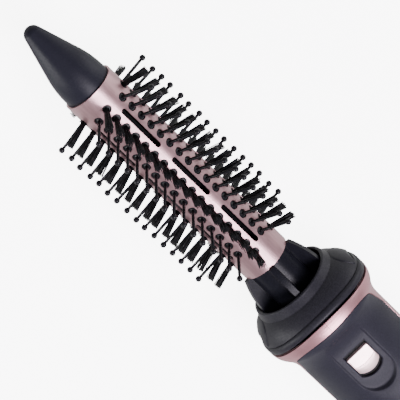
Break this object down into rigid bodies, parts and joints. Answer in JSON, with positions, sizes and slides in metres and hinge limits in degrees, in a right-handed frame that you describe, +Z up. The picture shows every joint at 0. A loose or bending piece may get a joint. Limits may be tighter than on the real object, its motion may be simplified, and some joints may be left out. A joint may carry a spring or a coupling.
{
  "type": "hot air brush",
  "caption": "Hot air styling brush: a heated-air handle with a push-on perforated round brush, ball-tipped pins, nylon tufts and a cool tip.",
  "frame": {"origin": "middle of the bounding box in plan, on the plane the brush lies on", "axes": "+X along the brush axis towards the rear end of the handle, +Z up out of the control side, +Y to the left seen from the rear"},
  "size_m": [0.3671, 0.0588, 0.0588],
  "materials": {
    "tip_black": "matt, fine texture",
    "steel": "zinc plated",
    "rose_aluminium": "satin anodised rose gold",
    "inner_black": "moulded",
    "neck_black": "semi-gloss moulded",
    "collar_black": "satin, fine texture",
    "rose_paint": "satin metallic rose gold paint",
    "grip_black": "soft-touch",
    "rose_gloss": "polished metallised rose gold",
    "inner_grey": "moulded",
    "mica": "mica sheet",
    "heating_wire": "nickel-chrome wire",
    "fuse_ceramic": "glazed",
    "fan_white": "moulded",
    "motor_steel": "drawn can",
    "board_green": "solder mask",
    "filter_steel": "etched mesh",
    "rubber_black": "matt",
    "pin_nylon": "satin nylon",
    "tuft_nylon": "nylon filament"
  },
  "bodies": {
    "handle": {"housing_left": "rose_paint", "housing_right": "rose_paint", "front_grip": "grip_black", "rear_grip": "grip_black", "slider_frame": "inner_grey", "slider_spring": "steel", "latch_pin": "steel", "spigot": "inner_black", "outlet_grille": "inner_black", "heater_tube": "mica", "heater_frame": "mica", "heater_coils": "heating_wire", "thermal_cutout": "steel", "thermal_fuse": "fuse_ceramic", "air_duct": "inner_grey", "motor": "motor_steel", "motor_mount": "inner_grey", "circuit_board": "board_green", "mode_switch": "inner_black", "rear_cap": "grip_black", "dust_filter": "filter_steel", "cord_gland": "rubber_black", "housing_screws": "steel"},
    "brush_head": {"cool_tip": "tip_black", "tip_screw": "steel", "barrel": "rose_aluminium", "air_core": "inner_black", "pin_strip_1": "pin_nylon", "pin_strip_2": "pin_nylon", "pin_strip_3": "pin_nylon", "pin_strip_4": "pin_nylon", "pin_strip_5": "pin_nylon", "tuft_strip_1": "tuft_nylon", "tuft_strip_2": "tuft_nylon", "tuft_strip_3": "tuft_nylon", "tuft_strip_4": "tuft_nylon", "tuft_strip_5": "tuft_nylon", "neck_cage": "neck_black", "socket_sleeve": "inner_black", "collar": "collar_black", "collar_band": "collar_black", "collar_tab_left": "collar_black", "collar_tab_right": "collar_black"},
    "release_slider": {"release_slider": "rose_gloss"},
    "latch": {"latch_lever": "steel"},
    "rotor": {"impeller": "fan_white", "motor_shaft": "steel"},
    "switch_knob": {"switch_knob": "rose_gloss"},
    "hanging_loop": {"hanging_loop": "rubber_black"}
  },
  "joints": [
    {"name": "head_pull_off", "type": "slide", "parent": "handle", "child": "brush_head", "axis": [-1, 0, 0], "range_m": [0, 0.06]},
    {"name": "slider_slide", "type": "slide", "parent": "handle", "child": "release_slider", "axis": [1, 0, 0], "range_m": [0, 0.0019], "stiffness_N_per_m": 400, "springref_m": -0.002, "deforming": ["slider_spring"]},
    {"name": "latch_tilt", "type": "hinge", "parent": "handle", "child": "latch", "pos_m": [0.007, 0, 0.05], "axis": [0, 1, 0], "range_deg": [0, 9]},
    {"name": "fan_spin", "type": "hinge", "parent": "handle", "child": "rotor", "pos_m": [0.0896, 0, 0.0294], "axis": [1, 0, 0], "continuous": true},
    {"name": "mode_slide", "type": "slide", "parent": "handle", "child": "switch_knob", "axis": [1, 0, 0], "range_m": [-0.003, 0.003]},
    {"name": "loop_turn", "type": "hinge", "parent": "handle", "child": "hanging_loop", "pos_m": [0.1646, 0, 0.0294], "axis": [1, 0, 0], "continuous": true}
  ],
  "couplings": [
    {"joint": "latch_tilt", "follows": "slider_slide", "rad_per_m": 78}
  ]
}
